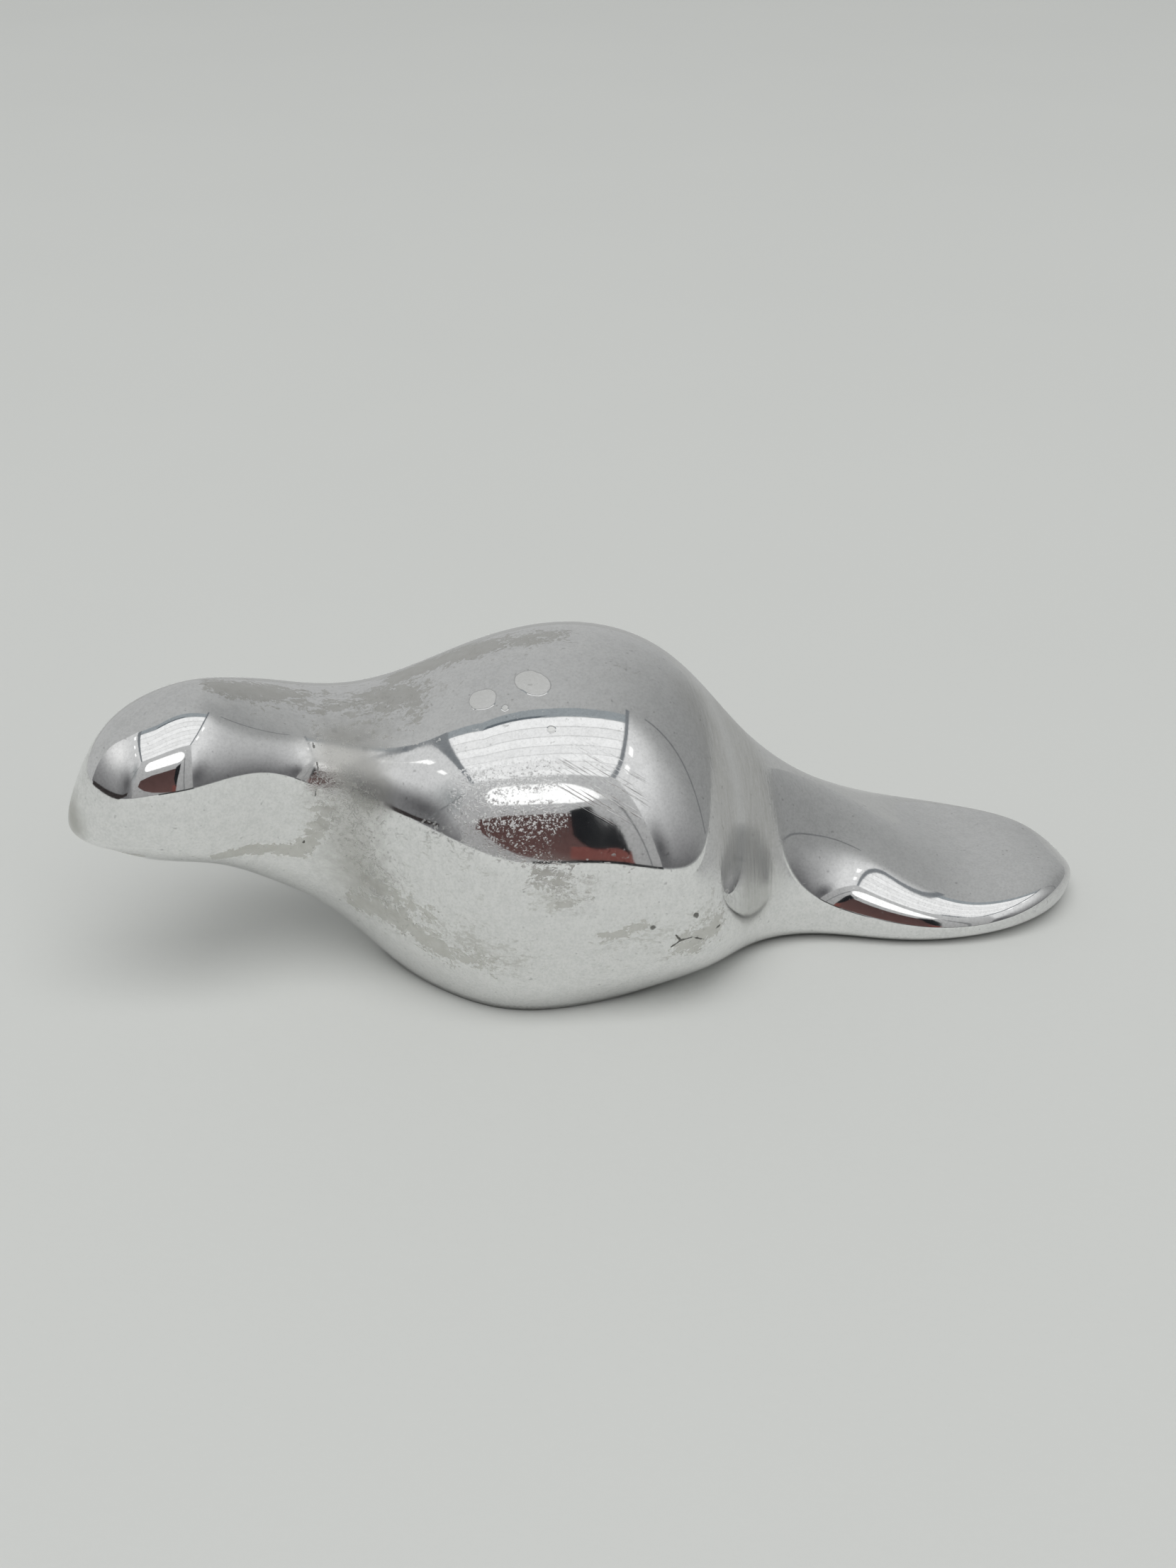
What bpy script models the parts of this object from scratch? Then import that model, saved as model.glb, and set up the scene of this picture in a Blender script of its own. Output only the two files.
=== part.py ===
"""A polished cast beaver ornament: one solid casting under a thin film of clear lacquer that is flaking.

Metres, +Z up. The nose points to -X, the tail lies along +X, and the ground underside is at z = 0.
"""

import math

import bmesh
import bpy
import numpy as np

# Cross-sections from nose to tail tip: the step from the section in front, the width, the heights of the
# top, the underside and the widest place, the shift to +Y where neck and tail bend, and how flat the top is
MUZZLE = {"step": 0.0030, "width": 0.0098, "top": 0.0358, "under": 0.0252, "side": 0.0275, "shift": -0.0025}
CHEEK = {"step": 0.0060, "width": 0.0192, "top": 0.0414, "under": 0.0215, "side": 0.0309, "shift": -0.0014}
HEAD = {"step": 0.0080, "width": 0.0199, "top": 0.0439, "under": 0.0196, "side": 0.0305, "shift": -0.0010}
NECK = {"step": 0.0080, "width": 0.0219, "top": 0.0413, "under": 0.0140, "side": 0.0306, "shift": 0.0024}
NAPE = {"step": 0.0080, "width": 0.0258, "top": 0.0387, "under": 0.0078, "side": 0.0270, "shift": 0.0041}
SHOULDER = {"step": 0.0080, "width": 0.0346, "top": 0.0389, "under": 0.0001, "side": 0.0235, "shift": 0.0023}
CHEST = {"step": 0.0110, "width": 0.0448, "top": 0.0437, "under": -0.0065, "side": 0.0185, "shift": -0.0004}
BELLY = {"step": 0.0140, "width": 0.0501, "top": 0.0459, "under": -0.0060, "side": 0.0173}
RUMP = {"step": 0.0140, "width": 0.0473, "top": 0.0409, "under": -0.0005, "side": 0.0146}
HAUNCH = {"step": 0.0110, "width": 0.0262, "top": 0.0283, "under": -0.0008, "side": 0.0079, "shift": 0.0015}
TAIL_ROOT = {"step": 0.0090, "width": 0.0300, "top": 0.0198, "side": 0.0044, "shift": 0.0047, "flat": 1.8}
TAIL_FAN = {"step": 0.0090, "width": 0.0364, "top": 0.0141, "side": 0.0028, "shift": 0.0052, "flat": 2.1}
TAIL_BLADE = {"step": 0.0100, "width": 0.0386, "top": 0.0088, "side": 0.0025, "shift": 0.0044, "flat": 3.2}
TAIL_TAPER = {"step": 0.0100, "width": 0.0297, "top": 0.0079, "side": 0.0041, "shift": 0.0006, "flat": 3.6}
TAIL_END = {"step": 0.0075, "width": 0.0149, "top": 0.0064, "side": 0.0048, "shift": -0.0011, "flat": 2.8}
SECTIONS = (MUZZLE, CHEEK, HEAD, NECK, NAPE, SHOULDER, CHEST, BELLY, RUMP, HAUNCH)
SECTIONS += (TAIL_ROOT, TAIL_FAN, TAIL_BLADE, TAIL_TAPER, TAIL_END)
USUAL = {"under": -0.0004, "shift": 0.0, "flat": 2.0}
MEASURES = ("step", "width", "top", "under", "side", "shift", "flat")

# Rounded ends
NOSE_HEIGHT = 0.0270
NOSE_SHIFT = -0.0020
TAIL_TIP_STEP = 0.0035
TAIL_TIP_HEIGHT = 0.0024
TAIL_TIP_SHIFT = 0.0005

# Lacquer film
FILM_GAP = 0.0003
FILM_THICKNESS = 0.0003
FILM_FOOT = 0.0020

# Bare places in the film: distance from the nose, turn round the body in degrees (90 is the ridge of the
# back, 0 the +Y flank and 180 the -Y flank), and reach along and across
NECK_FLAKE = {"along": 0.0310, "turn": 95.0, "half_length": 0.0105, "half_width": 0.0036}
BACK_FLAKE = {"along": 0.0540, "turn": 82.0, "half_length": 0.0085, "half_width": 0.0042}
CHEST_FLAKE = {"along": 0.0420, "turn": 210.0, "half_length": 0.0070, "half_width": 0.0040}
FLANK_FLAKE = {"along": 0.0778, "turn": 185.0, "half_length": 0.0042, "half_width": 0.0036}
FLAKES = (NECK_FLAKE, BACK_FLAKE, CHEST_FLAKE, FLANK_FLAKE)

# Fineness of the solids
RING_COUNT = 48
SPOKE_COUNT = 36
MIRRORED_RINGS = 3
FINE_STEPS = 1440
CUT_SNAP = 0.00005
SHARP_ANGLE = math.radians(50.0)


def clear_scene():
    for old in list(bpy.data.objects):
        bpy.data.objects.remove(old, do_unlink=True)


def finish(name, colour, roughness, metallic, alpha=1.0):
    material = bpy.data.materials.new(name)
    material.use_nodes = True
    shader = material.node_tree.nodes["Principled BSDF"]
    shader.inputs["Base Color"].default_value = (*colour, 1.0)
    shader.inputs["Roughness"].default_value = roughness
    shader.inputs["Metallic"].default_value = metallic
    shader.inputs["Alpha"].default_value = alpha
    return material


def natural_spline(knots, rows, places):
    """The rows at the given places on the natural cubic spline through the knots."""
    gaps = np.diff(knots)
    slopes = np.diff(rows, axis=0) / gaps[:, None]
    system = np.eye(len(knots))
    wanted = np.zeros_like(rows)
    for i in range(1, len(knots) - 1):
        system[i, i - 1 : i + 2] = gaps[i - 1], 2 * (gaps[i - 1] + gaps[i]), gaps[i]
        wanted[i] = 6 * (slopes[i] - slopes[i - 1])
    bends = np.linalg.solve(system, wanted)
    span = np.clip(np.searchsorted(knots, places, side="right") - 1, 0, len(gaps) - 1)
    gap = gaps[span][:, None]
    after = (places - knots[span])[:, None] / gap
    before = 1 - after
    straight = before * rows[span] + after * rows[span + 1]
    bowed = (before**3 - before) * bends[span] + (after**3 - after) * bends[span + 1]
    return straight + bowed * gap**2 / 6


def rails(count):
    """Cross-sections spaced evenly from the nose to the tail tip, as rows in the order of MEASURES.

    The first column holds x, with the middle of the length at 0. Past each end the sections carry on
    as a mirror image, with a negative width and with top and underside exchanged, so the profiles run
    round the nose and the tail tip without a corner.
    """
    whole = [{**USUAL, **section} for section in SECTIONS]
    rows = np.array([[section[measure] for measure in MEASURES] for section in whole])
    rows[:, 0] = np.cumsum(rows[:, 0])
    length = rows[-1, 0] + TAIL_TIP_STEP
    nose = (0.0, 0.0, NOSE_HEIGHT, NOSE_HEIGHT, NOSE_HEIGHT, NOSE_SHIFT, rows[0, 6])
    tip = (length, 0.0, TAIL_TIP_HEIGHT, TAIL_TIP_HEIGHT, TAIL_TIP_HEIGHT, TAIL_TIP_SHIFT, rows[-1, 6])
    mirror = rows[:, [0, 1, 3, 2, 4, 5, 6]] * (1, -1, 1, 1, 1, 1, 1)
    before = mirror[:MIRRORED_RINGS][::-1]
    behind = mirror[-MIRRORED_RINGS:][::-1]
    rows = np.vstack([before, nose, rows, tip, behind])
    rows[:, 0] -= length / 2
    radius = (rows[:, 1] + rows[:, 2] - rows[:, 3]) / 4
    run = np.hypot(np.diff(rows[:, 0]), np.diff(radius))
    knots = np.concatenate([[0.0], np.cumsum(run)])
    places = np.linspace(knots[MIRRORED_RINGS], knots[-1 - MIRRORED_RINGS], count)
    return natural_spline(knots, rows, places)


def section_curve(row, turns):
    """Y and Z of a cross-section at the given turns, in radians."""
    _, width, top, under, side, shift, flat = row
    swing = np.cos(turns)
    lift = np.sin(turns)
    across = shift + width / 2 * np.sign(swing) * np.abs(swing) ** (2 / flat)
    rise = side + (top - under) / 2 * lift + ((top + under) / 2 - side) * lift**2
    return across, rise


def ring_points(row):
    """Points spaced evenly round a cross-section, from the ridge by way of +Y, as (x, y, z)."""
    across, rise = section_curve(row, np.linspace(math.pi / 2, -1.5 * math.pi, FINE_STEPS + 1))
    run = np.concatenate([[0.0], np.cumsum(np.hypot(np.diff(across), np.diff(rise)))])
    even = np.linspace(0.0, run[-1], SPOKE_COUNT, endpoint=False)
    x = np.full(SPOKE_COUNT, row[0])
    return np.column_stack([x, np.interp(even, run, across), np.interp(even, run, rise)])


def lofted_body():
    """The whole body before its underside is ground: a globe whose rings are moved onto the sections."""
    rings = [ring_points(row) for row in rails(RING_COUNT + 1)]
    body = bmesh.new()
    bmesh.ops.create_uvsphere(body, u_segments=SPOKE_COUNT, v_segments=RING_COUNT, radius=1.0)
    for vertex in body.verts:
        polar = math.acos(max(-1.0, min(1.0, vertex.co.z)))
        turn = math.atan2(vertex.co.y, vertex.co.x) % math.tau
        ring = round(polar / math.pi * RING_COUNT)
        spoke = round(turn / math.tau * SPOKE_COUNT) % SPOKE_COUNT
        vertex.co = rings[ring][spoke]
    bmesh.ops.triangulate(body, faces=body.faces)
    return body


def cut_below(body, height):
    """Removes everything below the height."""
    everything = body.verts[:] + body.edges[:] + body.faces[:]
    plane = {"plane_co": (0, 0, height), "plane_no": (0, 0, 1)}
    bmesh.ops.bisect_plane(body, geom=everything, dist=CUT_SNAP, clear_inner=True, **plane)


def flake_centre(flake):
    """Where a flake's middle lies on the surface, as (x, y, z)."""
    rows = rails(FINE_STEPS)
    from_nose = rows[:, 0] - rows[0, 0]
    row = rows[np.argmin(np.abs(from_nose - flake["along"]))]
    across, rise = section_curve(row, np.array([math.radians(flake["turn"])]))
    return row[0], across[0], rise[0]


def strip_flakes(skin):
    """Removes the film's faces where it has come off."""
    for flake in FLAKES:
        x, y, z = flake_centre(flake)
        bare = []
        for face in skin.faces:
            middle = face.calc_center_median()
            along = (middle.x - x) / flake["half_length"]
            across = math.hypot(middle.y - y, middle.z - z) / flake["half_width"]
            if math.hypot(along, across) < 1.0:
                bare.append(face)
        bmesh.ops.delete(skin, geom=bare, context="FACES")


def add_piece(name, body, material, parent):
    mesh = bpy.data.meshes.new(name)
    body.to_mesh(mesh)
    body.free()
    mesh.materials.append(material)
    mesh.shade_smooth()
    mesh.set_sharp_from_angle(angle=SHARP_ANGLE)
    piece = bpy.data.objects.new(name, mesh)
    piece.parent = parent
    bpy.context.collection.objects.link(piece)
    return piece


def add_casting(parent):
    """The solid casting, ground flat underneath."""
    body = lofted_body()
    cut_below(body, 0.0)
    rim = [edge for edge in body.edges if edge.is_boundary]
    bmesh.ops.holes_fill(body, edges=rim)
    bmesh.ops.triangulate(body, faces=body.faces)
    metal = finish("polished_aluminium", colour=(0.84, 0.85, 0.85), roughness=0.10, metallic=1.0)
    add_piece("casting", body, metal, parent)


def add_lacquer_film(parent):
    """The clear film: the casting's skin above the floor line, less its flakes, lifted and thickened."""
    skin = lofted_body()
    cut_below(skin, FILM_FOOT)
    strip_flakes(skin)
    bmesh.ops.triangulate(skin, faces=skin.faces)
    clear = finish("clear_lacquer", colour=(0.92, 0.92, 0.90), roughness=0.06, metallic=0.0, alpha=0.2)
    film = add_piece("lacquer_film", skin, clear, parent)
    lift = film.modifiers.new("clearance", "DISPLACE")
    lift.direction = "NORMAL"
    lift.mid_level = 0.0
    lift.strength = FILM_GAP
    thicken = film.modifiers.new("thickness", "SOLIDIFY")
    thicken.thickness = FILM_THICKNESS
    thicken.offset = 1.0


def main():
    clear_scene()
    beaver = bpy.data.objects.new("beaver", None)
    bpy.context.collection.objects.link(beaver)
    add_casting(beaver)
    add_lacquer_film(beaver)


main()
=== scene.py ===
"""The look of a polished cast beaver ornament, laid out as a Blender add-on and run as a script.

Metres, +Z up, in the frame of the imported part: the nose points to -X and the underside is at z = 0.
"""

import functools
import math

import bmesh
import bpy
import numpy as np
from bpy.props import FloatProperty, FloatVectorProperty, IntProperty, PointerProperty
from mathutils import Matrix, Vector, noise


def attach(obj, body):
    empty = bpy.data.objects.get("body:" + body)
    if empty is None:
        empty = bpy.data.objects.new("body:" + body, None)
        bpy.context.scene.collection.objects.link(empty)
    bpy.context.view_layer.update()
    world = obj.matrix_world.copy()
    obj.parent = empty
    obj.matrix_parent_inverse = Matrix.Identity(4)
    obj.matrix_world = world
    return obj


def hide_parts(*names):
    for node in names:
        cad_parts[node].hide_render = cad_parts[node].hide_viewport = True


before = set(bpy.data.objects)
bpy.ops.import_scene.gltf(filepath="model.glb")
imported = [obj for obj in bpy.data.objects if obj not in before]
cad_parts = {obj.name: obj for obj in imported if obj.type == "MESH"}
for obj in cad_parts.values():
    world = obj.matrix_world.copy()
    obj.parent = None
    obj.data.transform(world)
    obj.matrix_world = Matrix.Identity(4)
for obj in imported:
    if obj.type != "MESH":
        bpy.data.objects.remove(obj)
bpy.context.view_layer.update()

bl_info = {
    "name": "Beaver Ornament",
    "version": (1, 0, 0),
    "blender": (4, 5, 0),
    "location": "View3D > Sidebar > Ornament",
    "description": "Builds the polished casting, its flaking lacquer and the studio round them",
    "category": "Add Mesh",
}


def section(step, width, top, side, under=-0.0004, shift=0.0, flat=2.0):
    """One cross-section as a row, in the order that the loft uses."""
    return step, width, top, under, side, shift, flat


# Cross-sections from nose to tail tip, the same as in the part's source: the step from the section in
# front, the width, the heights of the top, the underside and the widest place, the shift to +Y where
# neck and tail bend, and how flat the top is
MUZZLE = section(step=0.0030, width=0.0098, top=0.0358, under=0.0252, side=0.0275, shift=-0.0025)
CHEEK = section(step=0.0060, width=0.0192, top=0.0414, under=0.0215, side=0.0309, shift=-0.0014)
HEAD = section(step=0.0080, width=0.0199, top=0.0439, under=0.0196, side=0.0305, shift=-0.0010)
NECK = section(step=0.0080, width=0.0219, top=0.0413, under=0.0140, side=0.0306, shift=0.0024)
NAPE = section(step=0.0080, width=0.0258, top=0.0387, under=0.0078, side=0.0270, shift=0.0041)
SHOULDER = section(step=0.0080, width=0.0346, top=0.0389, under=0.0001, side=0.0235, shift=0.0023)
CHEST = section(step=0.0110, width=0.0448, top=0.0437, under=-0.0065, side=0.0185, shift=-0.0004)
BELLY = section(step=0.0140, width=0.0501, top=0.0459, under=-0.0060, side=0.0173)
RUMP = section(step=0.0140, width=0.0473, top=0.0409, under=-0.0005, side=0.0146)
HAUNCH = section(step=0.0110, width=0.0262, top=0.0283, under=-0.0008, side=0.0079, shift=0.0015)
TAIL_ROOT = section(step=0.0090, width=0.0300, top=0.0198, side=0.0044, shift=0.0047, flat=1.8)
TAIL_FAN = section(step=0.0090, width=0.0364, top=0.0141, side=0.0028, shift=0.0052, flat=2.1)
TAIL_BLADE = section(step=0.0100, width=0.0386, top=0.0088, side=0.0025, shift=0.0044, flat=3.2)
TAIL_TAPER = section(step=0.0100, width=0.0297, top=0.0079, side=0.0041, shift=0.0006, flat=3.6)
TAIL_END = section(step=0.0075, width=0.0149, top=0.0064, side=0.0048, shift=-0.0011, flat=2.8)
SECTIONS = (MUZZLE, CHEEK, HEAD, NECK, NAPE, SHOULDER, CHEST, BELLY, RUMP, HAUNCH)
SECTIONS += (TAIL_ROOT, TAIL_FAN, TAIL_BLADE, TAIL_TAPER, TAIL_END)
NOSE_HEIGHT = 0.0270
NOSE_SHIFT = -0.0020
TAIL_TIP_STEP = 0.0035
TAIL_TIP_HEIGHT = 0.0024
TAIL_TIP_SHIFT = 0.0005

# The loft: sections carried on through each tip, fine steps along and round it, and the flat cut's snap
TIP_SECTIONS = 3
FINE_STEPS = 4320
CUT_SNAP = 0.00001

# Steps along and round the body that give its directions, and the least square of a length
NEAR_STEP = 0.0006
NEAR_TURN = 1
LEAST_SQUARE = 1e-12

# The map for baking: the loft's share of its height, and the length that spans the base's map
BAKE_MAP = "OFBake"
BODY_SHARE = 0.72
BASE_SPAN = 0.16


def mark(*path, **sizes):
    """A mark along a path of (distance from the nose, turn in degrees), with its sizes."""
    return {"path": path, **sizes}


# Worn places, with a reach to each side and a level. A turn of 90 is the ridge of the back, 0 the +Y
# flank and 180 the -Y flank.
RUBS = (
    mark((0.0205, 96), (0.0290, 94), reach=0.0026, level=0.9),
    mark((0.0290, 96), (0.0370, 101), (0.0435, 108), reach=0.0036, level=0.25),
    mark((0.0405, 92), (0.0445, 100), reach=0.0030, level=0.7),
    mark((0.0445, 79), (0.0500, 82), (0.0550, 87), reach=0.0032, level=0.9),
    mark((0.0550, 87), (0.0640, 91), reach=0.0026, level=0.4),
    mark((0.0180, 220), (0.0216, 214), (0.0285, 210), reach=0.0012, level=1.1),
    mark((0.0360, 219), (0.0405, 211), (0.0450, 209), reach=0.0026, level=0.8),
    mark((0.0450, 211), (0.0510, 201), reach=0.0020, level=0.4),
    mark((0.0372, 201), (0.0405, 200), (0.0433, 198), reach=0.0018, level=0.5),
    mark((0.0375, 212), (0.0415, 207), reach=0.0009, level=0.6),
    mark((0.0320, 178), (0.0312, 192), (0.0290, 206), reach=0.0016, level=0.5),
    mark((0.0575, 168), (0.0600, 170), reach=0.0018, level=0.4),
    mark((0.0590, 176), (0.0630, 174), reach=0.0007, level=0.5),
    mark((0.0645, 187), (0.0700, 184), reach=0.0009, level=0.7),
    mark((0.0755, 190), (0.0800, 184), reach=0.0024, level=0.5),
    mark((0.0045, 228), (0.0085, 227), reach=0.0006, level=0.9),
    mark((0.0290, 44), (0.0370, 30), reach=0.0028, level=0.5),
    mark((0.0560, 12), (0.0660, 2), reach=0.0030, level=0.5),
    mark((0.0430, -32), (0.0500, -20), reach=0.0024, level=0.6),
    mark((0.0830, 40), (0.0870, 30), reach=0.0024, level=0.4),
)
FLECKED = (
    mark((0.0335, 165), (0.0370, 185), (0.0400, 205), reach=0.0075, level=1.0),
    mark((0.0400, 200), (0.0530, 196), reach=0.0080, level=1.2),
    mark((0.0440, 170), (0.0560, 175), (0.0660, 172), reach=0.0060, level=1.1),
    mark((0.0660, 190), (0.0800, 178), reach=0.0070, level=1.0),
    mark((0.0400, 112), (0.0480, 104), (0.0540, 118), reach=0.0050, level=0.8),
    mark((0.0700, 108), (0.0820, 112), reach=0.0050, level=0.5),
    mark((0.0400, 20), (0.0620, 10), reach=0.0120, level=0.8),
    mark((0.0480, -30), (0.0700, -24), reach=0.0080, level=0.8),
)
PITTED = (
    mark((0.0488, 143), (0.0540, 140), (0.0590, 140), reach=0.0024, level=0.8),
    mark((0.0485, 151), (0.0538, 151.5), (0.0590, 152), reach=0.0024, level=0.9),
    mark((0.0505, 156), (0.0570, 157), reach=0.0036, level=0.25),
    mark((0.0345, 172), (0.0390, 192), reach=0.0060, level=0.6),
    mark((0.0500, 40), (0.0620, 30), reach=0.0080, level=0.8),
)
HAZED = (
    mark((0.0362, 135), (0.0362, 205), reach=0.0085, level=0.6),
    mark((0.0348, 138), (0.0372, 158), reach=0.0055, level=1.0),
    mark((0.0004, 110), (0.0006, 160), reach=0.0042, level=0.7),
    mark((0.0330, 40), (0.0360, 10), reach=0.0060, level=0.8),
)
STREAKED = (
    mark((0.0815, 110), (0.0830, 155), reach=0.0060, level=0.8),
    mark((0.0880, 98), (0.0885, 165), reach=0.0075, level=1.0),
    mark((0.0860, 60), (0.0860, 20), reach=0.0060, level=0.8),
)
SCRATCHED = (mark((0.0632, 140), (0.0680, 146), reach=0.0042, level=1.0),)
CRINKLED = (
    mark((0.0350, 176), (0.0375, 190), (0.0400, 208), reach=0.0070, level=1.1),
    mark((0.0390, 96), (0.0440, 103), reach=0.0040, level=0.8),
    mark((0.0440, 203), (0.0520, 197), reach=0.0040, level=0.5),
    mark((0.0560, 170), (0.0620, 174), reach=0.0032, level=0.5),
    mark((0.0340, 30), (0.0390, 5), reach=0.0070, level=0.8),
)
WORN = {
    "rubbed": RUBS,
    "flecked": FLECKED,
    "pitted": PITTED,
    "hazed": HAZED,
    "streaked": STREAKED,
    "scratched": SCRATCHED,
    "crinkled": CRINKLED,
}

# Small marks drawn by the shader: blisters and rings with a radius, pits and cracks with a half width
BLISTERS = (
    mark((0.0523, 113.0), (0.0529, 113.2), radius=0.0015),
    mark((0.0586, 110.5), (0.0596, 113.0), radius=0.0017),
    mark((0.0602, 128.0), radius=0.0005),
    mark((0.0551, 118.5), radius=0.0004),
    mark((0.0660, 52.0), (0.0672, 51.0), radius=0.0014),
)
CRACKS = (
    mark((0.0710, 184.0), half_width=0.00045),
    mark((0.0767, 179.0), (0.0769, 179.4), half_width=0.0004),
    mark((0.0736, 192.0), (0.0748, 189.2), (0.0764, 188.0), (0.0805, 184.0), half_width=0.00016),
    mark((0.0748, 189.2), (0.0741, 187.0), half_width=0.00014),
    mark((0.0764, 188.0), (0.0781, 189.5), half_width=0.00014),
    mark((0.0313, 138.0), (0.0316, 155.0), (0.0310, 171.0), (0.0292, 202.0), half_width=0.00010),
)

# How far the marks' edges waver, a blister's soft edge and rim, and the crumbs' scale per metre
MARK_WOBBLE = 0.0005
BLISTER_EDGE = 0.00010
BLISTER_RIM = 0.00013
CRUMB_SCALE = 2600.0

# Torn edges of the lacquer film: the noise's scale per metre, falloff, step and octaves, then its depth
# and the worn level at which the film is gone
TEAR_SCALE = 700.0
TEAR_FALLOFF = 0.6
TEAR_STEP = 2.0
TEAR_OCTAVES = 3
TEAR_DEPTH = 0.4
TEAR_LEVEL = 0.1

# Chips of lacquer that stand up at the edges of the worn places. The heading is the turn of the raised
# end from the tail, in degrees.
CHIPS = (
    {"along": 0.0363, "turn": 62.0, "size": 0.00085, "rise": 0.00080, "heading": 80.0},
    {"along": 0.0232, "turn": 101.0, "size": 0.00055, "rise": 0.00022, "heading": 200.0},
    {"along": 0.0278, "turn": 103.0, "size": 0.00045, "rise": 0.00020, "heading": 120.0},
    {"along": 0.0335, "turn": 92.0, "size": 0.00060, "rise": 0.00026, "heading": 30.0},
    {"along": 0.0402, "turn": 104.0, "size": 0.00050, "rise": 0.00022, "heading": 250.0},
    {"along": 0.0462, "turn": 90.0, "size": 0.00055, "rise": 0.00024, "heading": 160.0},
    {"along": 0.0535, "turn": 95.0, "size": 0.00050, "rise": 0.00020, "heading": 310.0},
    {"along": 0.0395, "turn": 207.0, "size": 0.00060, "rise": 0.00026, "heading": 100.0},
    {"along": 0.0455, "turn": 206.0, "size": 0.00050, "rise": 0.00022, "heading": 40.0},
    {"along": 0.0588, "turn": 165.0, "size": 0.00055, "rise": 0.00024, "heading": 90.0},
    {"along": 0.0745, "turn": 190.0, "size": 0.00050, "rise": 0.00022, "heading": 220.0},
    {"along": 0.0610, "turn": 6.0, "size": 0.00060, "rise": 0.00026, "heading": 70.0},
    {"along": 0.0465, "turn": -26.0, "size": 0.00055, "rise": 0.00024, "heading": 140.0},
    {"along": 0.0330, "turn": 36.0, "size": 0.00050, "rise": 0.00022, "heading": 280.0},
)

# A chip's points round, the shares of its rings, its seat above the metal, the rise of its middle,
# where it starts to curl, its width for its length, and the noise of its edge
CHIP_POINTS = 11
CHIP_RINGS = (0.55, 1.0)
CHIP_SEAT = 0.00004
CHIP_MIDDLE = 0.2
CHIP_HINGE = 0.45
CHIP_WIDTH = 0.7
CHIP_SPREAD = 9000
CHIP_RAGGEDNESS = 1.7
CHIP_FULLNESS = 0.75
CHIP_VARIATION = 0.5

# The studio that the polish mirrors. Its places are (sideways, towards the front, height), turned about
# the ornament, and panels stand a layer apart.
ROOM_TURN = math.radians(-11.0)
ROOM_LEFT = -1.50
ROOM_RIGHT = 1.14
ROOM_BACK = 0.02
ROOM_FRONT = 2.10
ROOM_HEIGHT = 2.00
CEILING_EDGE = ((-1.50, 0.20), (-0.89, 0.46), (0.24, 0.50), (0.71, 0.46), (1.14, 0.36))
CEILING_EDGE_WIDTH = 0.20
CEILING_SLATS = 7
SLAT_GAP = 0.012
LAYER = 0.02
SEAM_LEFT = 0.11
SEAM_RIGHT = 0.066
BAR_CORNERS = 24
SURROUND_RADIUS = 3.9
FLOOR_SHADE_WAY = (1.2, 1.0, 0.0)
FLOOR_SHADE_FADE = 0.15
DARK_LINE = ((-0.89, 0.47), (0.05, 0.50), (0.20, 0.46), (-0.80, 0.41))
WALL_LAMPS_LEFT = (0.25, 0.70, 1.13)
WALL_LAMPS_RIGHT = (0.97, 1.49)
SKIRTING = ((0.0, 0.0), (1.00, 0.0), (1.50, 0.13), (1.54, 0.24), (1.16, 0.13), (0.0, 0.05))
POST_LEFT = ((1.36, 0.26), (1.40, 0.26), (2.08, 1.56), (2.08, 1.62))
WARM_BOARD = ((-1.12, 0.52), (-0.63, 0.29), (-0.18, 0.15), (0.27, 0.07), (0.62, 0.04), (0.62, 0.95))
WARM_BOARD += ((-0.36, 0.92), (-1.02, 0.78))
RED_BOARD = ((0.50, 0.08), (0.61, 0.05), (0.65, 0.28), (0.52, 0.30))
BLACK_BOARD = ((0.555, 0.52), (0.585, 0.99), (0.74, 1.10), (0.72, 0.84), (0.67, 0.50))
BLACK_BOARD += ((0.62, 0.20), (0.59, 0.34))
TONES = {
    "ceiling_bright": (0.98, 0.985, 0.99),
    "ceiling_dim": (0.91, 0.915, 0.92),
    "ceiling_edge": (0.32, 0.35, 0.37),
    "ceiling_line": (0.12, 0.14, 0.16),
    "seam": (0.19, 0.205, 0.22),
    "wall_lamp": (1.3, 1.3, 1.3),
    "skirting": (0.03, 0.025, 0.025),
    "wall_post": (0.17, 0.175, 0.18),
    "lamp_bar": (1.25, 1.25, 1.25),
    "red_board": (0.17, 0.06, 0.052),
    "black_board": (0.008, 0.009, 0.011),
    "front_post": (0.15, 0.155, 0.16),
}

# How steeply the world's colour changes with height, and the camera's sensor in mm and nearest distance
WORLD_RISE = 1.4
SENSOR_WIDTH = 36.0
CLIP_START = 0.01


def natural_spline(knots, rows, places):
    """The rows at the given places on the natural cubic spline through the knots."""
    gaps = np.diff(knots)
    slopes = np.diff(rows, axis=0) / gaps[:, None]
    system = np.eye(len(knots))
    wanted = np.zeros_like(rows)
    for i in range(1, len(knots) - 1):
        system[i, i - 1 : i + 2] = gaps[i - 1], 2 * (gaps[i - 1] + gaps[i]), gaps[i]
        wanted[i] = 6 * (slopes[i] - slopes[i - 1])
    bends = np.linalg.solve(system, wanted)
    span = np.clip(np.searchsorted(knots, places, side="right") - 1, 0, len(gaps) - 1)
    gap = gaps[span][:, None]
    after = (places - knots[span])[:, None] / gap
    before = 1 - after
    straight = before * rows[span] + after * rows[span + 1]
    bowed = (before**3 - before) * bends[span] + (after**3 - after) * bends[span + 1]
    return straight + bowed * gap**2 / 6


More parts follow.
